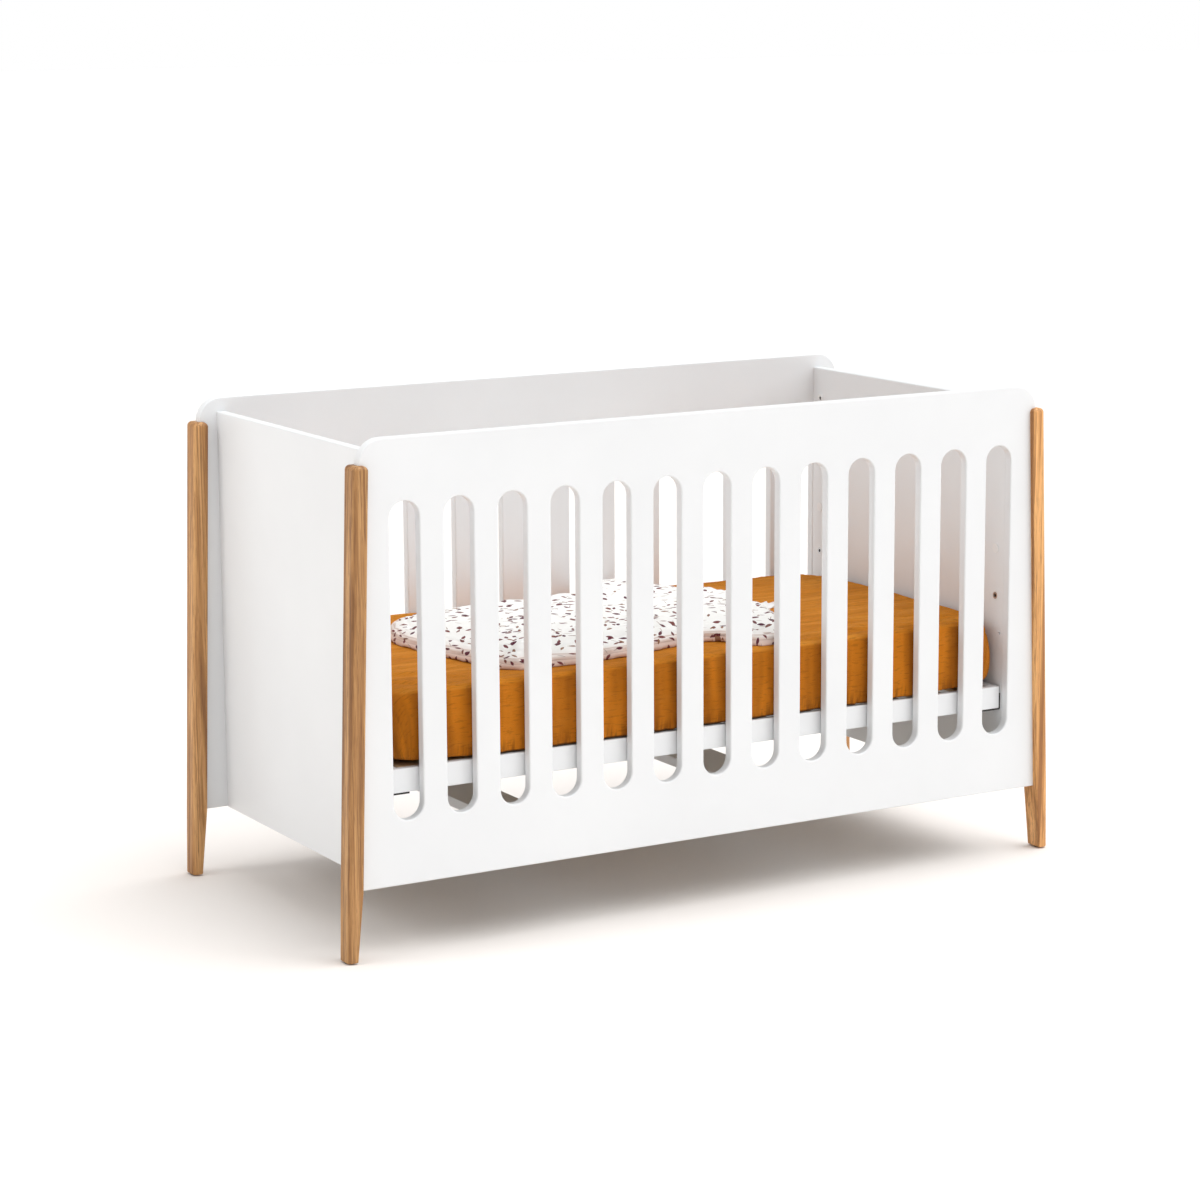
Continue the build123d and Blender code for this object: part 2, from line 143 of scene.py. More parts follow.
class Shader:
    """A new node material with short ways to add and join nodes."""

    def __init__(self, name):
        self.material = bpy.data.materials.new(name)
        self.material.use_nodes = True
        self.tree = self.material.node_tree
        self.surface = self.tree.nodes["Principled BSDF"]

    def add(self, kind, settings=None, **inputs):
        node = self.tree.nodes.new(kind)
        for key, value in (settings or {}).items():
            setattr(node, key, value)
        for key, value in inputs.items():
            self.join(value, node, key.replace("_", " "))
        return node

    def join(self, value, node, socket):
        """Sets a socket to a value, or links it to another node's output."""
        target = node.inputs[int(socket)] if socket.isdigit() else node.inputs[socket]
        if isinstance(value, bpy.types.NodeSocket):
            self.tree.links.new(value, target)
        else:
            target.default_value = value

    def set(self, **inputs):
        for key, value in inputs.items():
            self.join(value, self.surface, key.replace("_", " "))

    def combine(self, kind, operation, a, b):
        node = self.add(kind, {"operation": operation})
        self.join(a, node, "0")
        if b is not None:
            self.join(b, node, "1")
        return node.outputs[0]

    def math(self, operation, a, b=None):
        return self.combine("ShaderNodeMath", operation, a, b)

    def vector(self, operation, a, b):
        return self.combine("ShaderNodeVectorMath", operation, a, b)

    def place(self, scale=(1, 1, 1), uv=None):
        """Object coordinates, or a stored UV map's, times a scale."""
        if uv:
            source = self.add("ShaderNodeUVMap", {"uv_map": uv}).outputs["UV"]
        else:
            source = self.add("ShaderNodeTexCoord").outputs["Object"]
        mapping = self.add("ShaderNodeMapping", Vector=source)
        mapping.inputs["Scale"].default_value = scale
        return mapping.outputs["Vector"]

    def noise(self, where, scale, detail=3.0, roughness=0.5, distortion=0.0):
        node = self.add("ShaderNodeTexNoise", Vector=where, Scale=scale, Detail=detail,
                        Roughness=roughness, Distortion=distortion)
        return node.outputs["Fac"]

    def ramp(self, value, *stops):
        """Colour ramp from (position, colour) stops."""
        node = self.add("ShaderNodeValToRGB", Fac=value)
        elements = node.color_ramp.elements
        while len(elements) < len(stops):
            elements.new(0.5)
        for element, (position, colour) in zip(elements, stops):
            element.position = position
            element.color = (*colour, 1)
        return node.outputs["Color"]

    def mask(self, value, low, high):
        """Smooth step of a value between two limits."""
        node = self.add("ShaderNodeMapRange", {"interpolation_type": "SMOOTHSTEP"}, Value=value)
        node.inputs["From Min"].default_value = low
        node.inputs["From Max"].default_value = high
        return node.outputs["Result"]

    def mix(self, factor, a, b, blend="MIX"):
        node = self.add("ShaderNodeMix", {"data_type": "RGBA", "blend_type": blend})
        for index, value in ((0, factor), (6, a), (7, b)):
            if isinstance(value, tuple) and len(value) == 3:
                value = (*value, 1)
            self.join(value, node, str(index))
        return node.outputs[2]

    def over(self, under, colour, mask, most):
        """Lays a colour over another where a mask is, covering it by this share at most."""
        return self.mix(self.math("MULTIPLY", mask, most), under, colour)

    def bump(self, height, strength, distance):
        node = self.add("ShaderNodeBump", Height=height, Strength=strength, Distance=distance)
        self.set(Normal=node.outputs["Normal"])


# ---------------------------------------------------------------- materials

def white_lacquer():
    """Sprayed satin lacquer: a faint orange peel, and slightly uneven gloss."""
    s = Shader("white_lacquer")
    where = s.place()
    peel = s.noise(where, 420, 2)
    cloud = s.noise(where, 5, 3)
    s.set(Base_Color=s.ramp(cloud, (0.3, (0.778, 0.796, 0.812)), (0.7, (0.808, 0.826, 0.841))),
          Roughness=s.math("ADD", s.math("MULTIPLY", cloud, 0.12), 0.34),
          Coat_Weight=0.15, Coat_Roughness=0.25)
    s.bump(peel, 0.05, 0.0004)
    return s.material


def oak(name, dark, middle, light, grain=1.0):
    """Oiled wood: long streaks, fine pores and darker growth lines along Z (grain axis)."""
    s = Shader(name)
    streaks = s.noise(s.place((60 * grain, 60 * grain, 1.1)), 1.0, 6, 0.68, 0.5)
    lines = s.noise(s.place((330, 330, 3.4)), 1.0, 4, 0.6, 0.2)
    pores = s.noise(s.place((1100, 1100, 30)), 1.0, 2, 0.5)
    wood = s.ramp(streaks, (0.40, dark), (0.50, middle), (0.60, light))
    wood = s.over(wood, dark, s.mask(lines, 0.52, 0.60), 0.70)
    pit = s.mask(pores, 0.58, 0.68)
    wood = s.over(wood, tuple(0.5 * c for c in dark), pit, 0.5)
    s.set(Base_Color=wood, Roughness=s.math("ADD", s.math("MULTIPLY", streaks, 0.2), 0.42))
    s.bump(s.math("SUBTRACT", s.math("MULTIPLY", lines, 0.3), pit), 0.25, 0.0006)
    return s.material


def beech():
    """Bare beech: even, with short flecks; the grain runs along Y."""
    s = Shader("beech")
    streaks = s.noise(s.place((30, 1.5, 30)), 1.0, 4, 0.6, 0.3)
    flecks = s.noise(s.place((500, 40, 500)), 1.0, 2)
    wood = s.ramp(streaks, (0.3, (0.52, 0.35, 0.19)), (0.7, (0.66, 0.47, 0.28)))
    wood = s.over(wood, (0.36, 0.2, 0.1), s.mask(flecks, 0.6, 0.68), 0.35)
    s.set(Base_Color=wood, Roughness=0.6)
    s.bump(flecks, 0.1, 0.0004)
    return s.material


def steel(name, colour, rough):
    """Plated metal with a fine mottled grain."""
    s = Shader(name)
    grain = s.noise(s.place(), 900, 3)
    s.set(Base_Color=s.ramp(grain, (0.3, tuple(0.85 * c for c in colour)), (0.7, colour)), Metallic=1.0,
          Roughness=s.math("ADD", s.math("MULTIPLY", grain, 0.2), rough))
    s.bump(grain, 0.08, 0.0003)
    return s.material


def plastic(name, colour, rough):
    """Moulded plastic with a fine spark-eroded texture."""
    s = Shader(name)
    grain = s.noise(s.place(), 1600, 2)
    s.set(Base_Color=s.ramp(grain, (0.3, tuple(0.93 * c for c in colour)), (0.7, colour)),
          Roughness=s.math("ADD", s.math("MULTIPLY", grain, 0.15), rough))
    s.bump(grain, 0.12, 0.0002)
    return s.material


def weave(s, where, thread):
    """Height of a plain weave with threads this wide, from two crossed waves."""
    warp = s.add("ShaderNodeTexWave", {"bands_direction": "X"}, Vector=where, Scale=0.314 / thread,
                 Distortion=0.3, Detail=1.0)
    weft = s.add("ShaderNodeTexWave", {"bands_direction": "Y"}, Vector=where, Scale=0.314 / thread,
                 Distortion=0.3, Detail=1.0)
    return s.math("MULTIPLY", warp.outputs["Fac"], weft.outputs["Fac"])


def ochre_cotton():
    """Ochre sheet: plain weave and slubs, with painted light and shade in long bands and painted shade along
    fine pulled creases; a side painted darker as shade, in painted lit and shaded stripes, with ribs; painted
    shade in the gathers of its hem and a painted shadow under it.
    """
    s = Shader("ochre_cotton")
    where = s.place(uv="flat")
    height = s.add("ShaderNodeSeparateXYZ", Vector=s.place()).outputs["Z"]
    low, top = (corner.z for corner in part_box("fitted_sheet"))
    threads = weave(s, where, 0.0007)
    slub = s.noise(s.place((60, 700, 1), uv="flat"), 1.0, 2)
    dye = s.noise(where, 7, 4, 0.55)
    colour = s.ramp(dye, (0.3, (0.70, 0.240, 0.015)), (0.7, (0.79, 0.280, 0.019)))
    colour = s.over(colour, (0.46, 0.14, 0.007), s.mask(slub, 0.5, 0.7), 0.4)
    colour = s.over(colour, (0.60, 0.24, 0.03), threads, 0.18)

    # painted light and shade: long lighter and darker bands stand in for the lit and shaded sides of soft
    # waves in the sheet
    bands = s.noise(s.place((2.6, 40, 1), uv="flat"), 1.0, 4, 0.6, 0.3)
    colour = s.over(colour, (0.52, 0.155, 0.007), s.mask(bands, 0.52, 0.62), 0.42)
    colour = s.over(colour, (0.90, 0.40, 0.065), s.mask(bands, 0.48, 0.38), 0.35)
    # painted shade: thin darker lines stand in for the shade along fine pulled creases
    crease_shade_lines = s.noise(s.place((9, 170, 1), uv="flat"), 1.0, 3, 0.6, 0.8)
    colour = s.over(colour, (0.45, 0.125, 0.005), s.mask(crease_shade_lines, 0.57, 0.66), 0.30)

    # painted shade: the side below the top edge is painted darker than the top, in random lit and shaded
    # vertical stripes
    side_shade_stripes = s.noise(s.place((22, 3, 1), uv="flat"), 1.0, 2)
    shade = s.ramp(side_shade_stripes, (0.40, (0.40, 0.112, 0.003)), (0.60, (0.70, 0.215, 0.009)))
    colour = s.over(colour, shade, s.mask(height, top - 0.0035, top - 0.0085), 0.85)
    rib = s.noise(s.place((55, 260, 1), uv="flat"), 1.0, 3)
    colour = s.over(colour, (0.30, 0.085, 0.003), s.mask(rib, 0.54, 0.66), 0.36)

    # painted shade: darker vertical stripes in the gathers within a few centimetres of the hem
    gather = s.noise(s.place((150, 16, 1), uv="flat"), 1.0, 3)
    hem = s.math("MULTIPLY", s.mask(height, low + 0.034, low + 0.004), s.mask(gather, 0.44, 0.60))
    colour = s.over(colour, (0.17, 0.045, 0.002), hem, 0.55)
    # painted shadow: a near-black line along the very bottom of the hem, where it meets the base
    colour = s.over(colour, (0.04, 0.015, 0.004), s.mask(height, low + 0.0065, low + 0.0035), 0.85)
    s.set(Base_Color=colour, Roughness=0.9, Sheen_Weight=0.16, Sheen_Roughness=0.4,
          Sheen_Tint=(1.0, 0.52, 0.16, 1), Specular_IOR_Level=0.15)
    uneven = s.math("ADD", s.math("MULTIPLY", slub, 0.6), s.math("MULTIPLY", rib, 3.0))
    s.bump(s.math("ADD", threads, uneven), 0.75, 0.001)
    return s.material


def leaf_mask(s, where, cells, long, wide, keep, seed):
    """Small leaves, one at most in each cell of a jittered grid, each turned its own way.
    Returns where they are, and a random number for each."""
    shifted = s.vector("ADD", where, (seed, seed * 0.37, 0))
    cell = s.add("ShaderNodeTexVoronoi", {"voronoi_dimensions": "2D"}, Vector=shifted, Scale=cells,
                 Randomness=0.75)
    offset = s.vector("SUBTRACT", shifted, cell.outputs["Position"])
    dice = s.add("ShaderNodeSeparateColor", Color=cell.outputs["Color"])
    angle = s.math("MULTIPLY", dice.outputs["Red"], 6.2832)
    turned = s.add("ShaderNodeVectorRotate", {"rotation_type": "Z_AXIS"}, Vector=offset, Angle=angle)
    parts = s.add("ShaderNodeSeparateXYZ", Vector=turned.outputs[0])
    x = s.math("DIVIDE", parts.outputs["X"], long / 2)
    y = s.math("DIVIDE", parts.outputs["Y"], wide / 2)
    taper = s.math("SUBTRACT", 1.0, s.math("MULTIPLY", x, x))
    inside = s.math("SUBTRACT", taper, s.math("ABSOLUTE", y))
    shown = s.math("LESS_THAN", dice.outputs["Green"], keep)
    return s.math("MULTIPLY", s.mask(inside, 0.0, 0.12), shown), dice.outputs["Blue"]


# cells per metre, a leaf's length and width, share of cells with one, seed, and its two end colours
PRINTS = (
    (34, 0.020, 0.0018, 0.60, 3.1, (0.34, 0.27, 0.25), (0.50, 0.42, 0.38)),
    (42, 0.0155, 0.0068, 0.50, 11.7, (0.070, 0.006, 0.028), (0.17, 0.030, 0.030)),
    (38, 0.0165, 0.0056, 0.46, 23.9, (0.110, 0.014, 0.034), (0.26, 0.13, 0.065)),
    (25, 0.0170, 0.0110, 0.30, 31.3, (0.075, 0.006, 0.030), (0.19, 0.05, 0.035)),
)
BAG_SEAMS = (0.015, 0.023)     # heights over the bag's underside


def printed_cotton():
    """White padded cotton with two seams round its side and a scattered print of small leaves; its lower side
    is painted darker and pinker as shade and warm light thrown up from the sheet.
    """
    s = Shader("printed_cotton")
    where = s.place(uv="flat")
    threads = weave(s, where, 0.0006)
    cloud = s.noise(where, 18, 3)
    colour = s.ramp(cloud, (0.3, (0.80, 0.80, 0.78)), (0.7, (0.86, 0.865, 0.85)))
    height = s.add("ShaderNodeSeparateXYZ", Vector=s.place()).outputs["Z"]
    height = s.math("SUBTRACT", height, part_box("sleeping_bag")[0].z)
    # painted shade and painted warm bounce light: the lowest part of the side turns darker and pinker
    colour = s.mix(s.mask(height, 0.025, 0.006), colour, (0.71, 0.55, 0.48))
    wander = s.math("ADD", height, s.math("MULTIPLY", s.noise(s.place((6, 6, 0)), 1.0, 3), 0.010))
    for seam in BAG_SEAMS:
        away = s.math("ABSOLUTE", s.math("SUBTRACT", wander, seam))
        colour = s.over(colour, (0.50, 0.37, 0.32), s.mask(away, 0.0011, 0.0004), 0.6)
    for cells, long, wide, keep, seed, one, other in PRINTS:
        mask, dice = leaf_mask(s, where, cells, long, wide, keep, seed)
        colour = s.over(colour, s.mix(dice, one, other), mask, 0.97)
    s.set(Base_Color=colour, Roughness=0.92, Sheen_Weight=0.05, Sheen_Roughness=0.5, Specular_IOR_Level=0.2)
    s.bump(s.math("ADD", threads, s.noise(where, 260, 2)), 0.22, 0.0004)
    return s.material


def plain_cotton(name, low, high):
    s = Shader(name)
    where = s.place()
    threads = weave(s, where, 0.0006)
    s.set(Base_Color=s.ramp(s.noise(where, 30, 3), (0.3, low), (0.7, high)), Roughness=0.9,
          Sheen_Weight=0.2, Sheen_Roughness=0.5)
    s.bump(threads, 0.25, 0.0004)
    return s.material


def floor_paint():
    s = Shader("floor_paint")
    cloud = s.noise(s.place(), 0.7, 3)
    colour = s.ramp(cloud, (0.3, (0.89, 0.857, 0.828)), (0.7, (0.905, 0.872, 0.843)))
    s.set(Base_Color=colour, Roughness=0.8)
    return s.material


def set_material(thing, material):
    thing.data.materials.clear()
    thing.data.materials.append(material)


OAK = ((0.25, 0.104, 0.029), (0.46, 0.220, 0.070), (0.66, 0.360, 0.138))
# leg, how light its wood is (partly the wood's own tone, partly painted light and shade for how brightly each
# leg is lit), and how close its grain
OAK_LEGS = (("leg_front_left", 0.84, 1.0), ("leg_back_left", 0.98, 0.83),
            ("leg_front_right", 1.38, 1.21), ("leg_back_right", 1.1, 0.94))


def finish_cad_nodes():
    """Gives every carried-over CAD node its procedural material."""
    lacquer = white_lacquer()
    woods = {name: oak("oak_" + name, *(tuple(c * light for c in tone) for tone in OAK), grain)
             for name, light, grain in OAK_LEGS}
    pale = beech()
    plated = steel("zinc_plate", (0.60, 0.60, 0.61), 0.32)
    cast = steel("cast_zinc", (0.50, 0.50, 0.51), 0.42)
    # the brackets' black is partly a dark steel finish and partly painted shade, standing in for the shaded
    # gap at each end of the rails
    black = plastic("black_steel", (0.022, 0.020, 0.019), 0.5)
    cap = plastic("cap_plastic", (0.86, 0.86, 0.86), 0.45)
    glide = plastic("glide_plastic", (0.06, 0.05, 0.045), 0.5)
    for name, thing in nodes.items():
        if name.startswith("leg_") and name != "leg_dowels":
            chosen = woods[name]
        elif name.endswith("_dowels") or (name.startswith("slat_") and name != "slat_screws"):
            chosen = pale
        elif name.startswith("bracket_"):
            chosen = black
        elif name in ("cam_pins", "threaded_inserts", "slat_screws"):
            chosen = plated
        elif name == "cam_housings":
            chosen = cast
        elif name == "cam_caps":
            chosen = cap
        elif name == "foot_glides":
            chosen = glide
        else:
            chosen = lacquer
        set_material(thing, chosen)


# ---------------------------------------------------------------- mesh helpers

def new_object(name, mesh, material=None):
    thing = bpy.data.objects.new(name, mesh)
    bpy.context.scene.collection.objects.link(thing)
    if material:
        set_material(thing, material)
    return thing


def mesh_points(mesh):
    points = np.empty(3 * len(mesh.vertices))
    mesh.vertices.foreach_get("co", points)
    return points.reshape(-1, 3)


def set_points(mesh, points):
    mesh.vertices.foreach_set("co", np.ascontiguousarray(points, dtype=float).ravel())
    mesh.update()


def mesh_normals(mesh):
    normals = np.empty(3 * len(mesh.vertices))
    mesh.vertices.foreach_get("normal", normals)
    return normals.reshape(-1, 3)


def set_uv(mesh, name, flat):
    """Stores one UV per vertex, in metres of cloth."""
    layer = mesh.uv_layers.new(name=name)
    corner = np.empty(len(mesh.loops), dtype=int)
    mesh.loops.foreach_get("vertex_index", corner)
    layer.data.foreach_set("uv", np.ascontiguousarray(flat[corner], dtype=float).ravel())


def apply_modifiers(thing):
    """Bakes the modifiers into the mesh at the current frame."""
    graph = bpy.context.evaluated_depsgraph_get()
    mesh = bpy.data.meshes.new_from_object(thing.evaluated_get(graph), depsgraph=graph)
    thing.modifiers.clear()
    thing.data = mesh


def fbm(points, scale, octaves=3, seed=0.0):
    """Fractal noise at each point, about -1 to 1."""
    shift = Vector((seed, seed * 1.7, seed * 0.3))
    return np.array([noise.fractal(Vector(p) * scale + shift, 0.6, 2.0, octaves,
                                   noise_basis="PERLIN_ORIGINAL") for p in points])


def ridge(value, width):
    """Bell curve of a distance."""
    return np.exp(-(value / width) ** 2)


# ---------------------------------------------------------------- rounded slabs

def plan_grid(half_x, half_y, radius, nx, ny):
    """Grid over a rounded rectangle, row by row, as an array of points."""
    x, y = np.meshgrid(np.linspace(-half_x, half_x, nx + 1), np.linspace(-half_y, half_y, ny + 1))
    dx = np.maximum(abs(x) - (half_x - radius), 0)
    dy = np.maximum(abs(y) - (half_y - radius), 0)
    both = (dx > 0) & (dy > 0)
    pull = np.where(both, np.maximum(dx, dy) / np.maximum(np.hypot(dx, dy), 1e-9), 1)
    x = np.where(both, np.sign(x) * (half_x - radius + dx * pull), x)
    y = np.where(both, np.sign(y) * (half_y - radius + dy * pull), y)
    return np.stack((x.ravel(), y.ravel()), 1)


def rim_loop(nx, ny):
    """Indices of the grid's outermost points, anticlockwise from the corner at -X, -Y."""
    row = nx + 1
    south = list(range(nx))
    east = [j * row + nx for j in range(ny)]
    north = [ny * row + i for i in range(nx, 0, -1)]
    west = [j * row for j in range(ny, 0, -1)]
    return south + east + north + west


def rim_normals(rim, half_x, half_y, radius):
    dx = np.maximum(abs(rim[:, 0]) - (half_x - radius), 0) * np.sign(rim[:, 0])
    dy = np.maximum(abs(rim[:, 1]) - (half_y - radius), 0) * np.sign(rim[:, 1])
    normals = np.stack((dx, dy), 1)
    return normals / np.maximum(np.linalg.norm(normals, axis=1, keepdims=True), 1e-9)


UNDERSIDE_AWAY = 3.0     # how far the underside's flat map lies from the rest of it, in metres


def slab_rim(half, radius, step):
    """Counts of the grid's squares, indices of its rim, and the rim's points."""
    nx, ny = round(2 * half[0] / step), round(2 * half[1] / step)
    loop = rim_loop(nx, ny)
    return nx, ny, loop, plan_grid(*half, radius, nx, ny)[loop]


def slab_mesh(name, half, radius, step, first_inset, rings, top_z, closed_z=None):
    """Slab whose side is a list of rings, each an inset and a height per rim point.
    The top is a grid; closed_z closes the underside with another one."""
    half_x, half_y = half
    nx, ny, loop, outer = slab_rim(half, radius, step)
    normals = rim_normals(outer, half_x, half_y, radius)
    top = plan_grid(half_x - first_inset, half_y - first_inset, radius - first_inset, nx, ny)
    top[loop] = outer - normals * first_inset
    points = [np.column_stack((top, np.full(len(top), top_z)))]
    flat = [top.copy()]
    faces = [(j * (nx + 1) + i, j * (nx + 1) + i + 1, (j + 1) * (nx + 1) + i + 1, (j + 1) * (nx + 1) + i)
             for j in range(ny) for i in range(nx)]
    last, start, count = list(loop), len(top), len(loop)
    run = np.full(count, -first_inset)
    previous = points[0][loop]
    for inset, z in rings:
        ring = np.column_stack((outer - normals * np.reshape(inset, (-1, 1)) * np.ones((count, 1)),
                                np.ones(count) * z))
        run = run + np.linalg.norm(ring - previous, axis=1)
        flat.append(outer + normals * run[:, None])
        points.append(ring)
        here = list(range(start, start + count))
        faces += [(last[k], here[k], here[(k + 1) % count], last[(k + 1) % count]) for k in range(count)]
        last, previous, start = here, ring, start + count
    if closed_z is not None:
        inset = float(np.max(rings[-1][0]))
        base = plan_grid(half_x - inset, half_y - inset, max(radius - inset, 0.001), nx, ny)
        index = dict(zip(loop, last))
        inner = [k for k in range(len(base)) if k not in index]
        for number, k in enumerate(inner):
            index[k] = start + number
        points.append(np.column_stack((base[inner], np.full(len(inner), closed_z))))
        flat.append(base[inner] + UNDERSIDE_AWAY)
        faces += [(index[j * (nx + 1) + i], index[(j + 1) * (nx + 1) + i],
                   index[(j + 1) * (nx + 1) + i + 1], index[j * (nx + 1) + i + 1])
                  for j in range(ny) for i in range(nx)]
    mesh = bpy.data.meshes.new(name)
    mesh.from_pydata(np.concatenate(points).tolist(), [], faces)
    mesh.validate()
    set_uv(mesh, "flat", np.concatenate(flat))
    mesh.shade_smooth()
    return mesh


# ---------------------------------------------------------------- mattress and fitted sheet

MATTRESS_HALF = (0.6, 0.3)
SHEET_CORNER = 0.035
SHEET_STEP = 0.007
SHEET_RIM = 0.028        # how far in from the side the top's rounding starts
SIDE_STEPS = 16
TUCK = 0.055
CORE_INSET = 0.008
CORE_STEP = 0.012
CORE_RIM = 0.03
CORE_QUILT = 0.06        # pitch of its quilting

# each along a side, and how much more it is at a corner or an end
TOP_RADIUS = (0.007, 0.022)
LOW_RADIUS = (0.003, 0.010)
LOW_RISE = (0.0020, 0.0080)
BELLY = (0.0015, 0.006)
CORNER_REACH = 0.075
END_REACH = 0.03
RISE_REACH = 0.30
FOOT_FULL = 0.007        # how far the lower edge of the right end stands out

SOFT_LIFT = 0.0011
EDGE_LIFT = 0.0016
END_LIFT = 0.0012
BACK_DIP = 0.0042        # the top sinks towards the back right corner
HEM_GATHER = 0.0055
SIDE_RIPPLE = 0.0018
# from x, y to x, y, then height and width, in metres
SHEET_CREASES = (
    (0.18, -0.285, 0.44, -0.235, 0.0053, 0.006), (0.34, -0.288, 0.56, -0.262, 0.0046, 0.005),
    (0.24, -0.262, 0.5, -0.18, 0.0039, 0.008), (0.46, -0.27, 0.585, -0.205, 0.0042, 0.006),
    (0.3, -0.2, 0.56, -0.1, 0.0028, 0.01), (-0.585, -0.2, -0.47, -0.285, 0.0042, 0.006),
    (-0.58, -0.12, -0.42, -0.25, 0.0032, 0.009), (-0.15, -0.287, 0.06, -0.268, 0.0039, 0.005),
    (0.33, 0.05, 0.57, 0.14, 0.0014, 0.012), (0.36, 0.24, 0.58, 0.18, 0.0014, 0.009),
)


def between(pair, share):
    """A size along a side, plus this share of what it gains at a corner or an end."""
    return pair[0] + pair[1] * share


def side_rings(outer, low, high, inset):
    """Rings down a mattress side: rounded top edge, slightly full side, rounded lower edge and the
    tuck underneath. Its right end is fuller than the rest."""
    x, y = outer[:, 0], outer[:, 1]
    half_x, half_y = MATTRESS_HALF
    corner = np.exp(-((half_x - abs(x)) ** 2 + (half_y - abs(y)) ** 2) / CORNER_REACH ** 2)
    right = np.clip((x - (half_x - END_REACH)) / END_REACH, 0, 1)
    top_radius = between(TOP_RADIUS, corner)
    low_radius = between(LOW_RADIUS, corner)
    rise = between(LOW_RISE, np.clip((abs(x) - (half_x - RISE_REACH)) / RISE_REACH, 0, 1) ** 1.8)
    belly = between(BELLY, right)
    foot = FOOT_FULL * right
    top_z, low_z = high.z - inset, low.z + inset
    rings = [(SHEET_RIM * (1 - t) + top_radius * t + inset, top_z) for t in (0.5, 1.0)]
    for angle in np.radians(range(15, 91, 15)):
        rings.append((top_radius * (1 - math.sin(angle)) + inset, top_z - top_radius * (1 - math.cos(angle))))
    for k in range(1, SIDE_STEPS):
        t = k / SIDE_STEPS
        full = belly * math.sin(math.pi * t) ** 0.7 + foot * t ** 1.5
        rings.append((inset - full, (top_z - top_radius) * (1 - t) + (low_z + low_radius + rise) * t))
    for k, angle in enumerate(np.radians(range(0, 91, 18))):
        rings.append((low_radius * (1 - math.cos(angle)) - foot * (1 - k / 6) + inset,
                      low_z + rise + low_radius * (1 - math.sin(angle))))
    for t in (0.25, 0.5, 0.75, 1.0):
        rings.append((low_radius * (1 - t) + TUCK * t + inset, low_z + rise * (1 - t)))
    return rings


def crease_lift(x, y):
    """Height that each crease adds: a ridge with a shallow groove beside it, faded at both ends."""
    lift = np.zeros(len(x))
    for x0, y0, x1, y1, rise, width in SHEET_CREASES:
        run = math.hypot(x1 - x0, y1 - y0)
        t = ((x - x0) * (x1 - x0) + (y - y0) * (y1 - y0)) / run ** 2
        across = ((x - x0) * (y1 - y0) - (y - y0) * (x1 - x0)) / run
        across += 0.012 * fbm(np.stack((t * 2 + x0, y * 0, y * 0), 1), 1.0, 2, y0 * 9)
        fade = np.sin(np.clip(t, 0, 1) * math.pi) ** 0.7
        lift += rise * fade * (ridge(across, width) - 0.6 * ridge(across - 2 * width, width))
    return lift


def top_lift(points):
    """Unevenness of the top: soft overall, pulled lines by the long edges, and short ones by the ends."""
    x, y = points[:, 0], points[:, 1]
    half_x, half_y = MATTRESS_HALF
    level = np.zeros(len(x))
    lift = SOFT_LIFT * fbm(points * (1.0, 2.6, 1.6), 4.5, 3, 3.0) + crease_lift(x, y)
    pulled = fbm(np.stack((x * 5 + y * 9, y * 46 - x * 4, level), 1), 1.0, 3, 8.0)
    lift += EDGE_LIFT * np.exp(-np.clip(half_y - abs(y), 0, 1) / 0.07) * (1 - abs(pulled) * 2.2)
    short = fbm(np.stack((x * 40, y * 7, level), 1), 1.0, 3, 5.0)
    lift += END_LIFT * np.exp(-np.clip(half_x - abs(x), 0, 1) / 0.06) * short
    return lift - BACK_DIP * np.exp(-((x - 0.5) / 0.2) ** 2 - ((y - half_y) / 0.12) ** 2)


def sheet_wrinkles(points):
    """Moves the sheet's points: the top up and down, the side in and out with gathers at its hem."""
    low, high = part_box("fitted_sheet")
    x, y, z = points.T
    on_top = np.clip(1 - (high.z - z) / 0.012, 0, 1)
    inner_x, inner_y = (half - SHEET_CORNER for half in MATTRESS_HALF)
    out = np.stack((np.clip((abs(x) - inner_x) / SHEET_CORNER, 0, 1) * np.sign(x),
                    np.clip((abs(y) - inner_y) / SHEET_CORNER, 0, 1) * np.sign(y)), 1)
    out /= np.maximum(np.linalg.norm(out, axis=1, keepdims=True), 1e-6)
    along = np.where(abs(out[:, 1]) > abs(out[:, 0]), x, y)
    hem = np.exp(-np.clip(z - low.z, 0, 1) / 0.017)
    gathers = fbm(np.stack((along * 68, z * 6, np.sign(y) * 3), 1), 1.0, 2, 1.0)
    ripple = fbm(np.stack((along * 16, z * 3, np.sign(y) * 5), 1), 1.0, 3, 2.0)
    push = (1 - on_top) * (HEM_GATHER * hem * (gathers - 0.25) + SIDE_RIPPLE * ripple - 0.0008)
    lift = on_top * top_lift(points)
    lift += np.where(z < low.z + 0.001, 0.0012 * abs(gathers), 0)
    points[:, :2] += out * push[:, None]
    points[:, 2] += lift
    return points


def make_sheet(low, high):
    half = (high.x, high.y)
    outer = slab_rim(half, SHEET_CORNER, SHEET_STEP)[-1]
    rings = side_rings(outer, low, high, 0)
    mesh = slab_mesh("sheet", half, SHEET_CORNER, SHEET_STEP, SHEET_RIM, rings, high.z)
    set_points(mesh, sheet_wrinkles(mesh_points(mesh)))
    return new_object("sheet_cover", mesh, ochre_cotton())


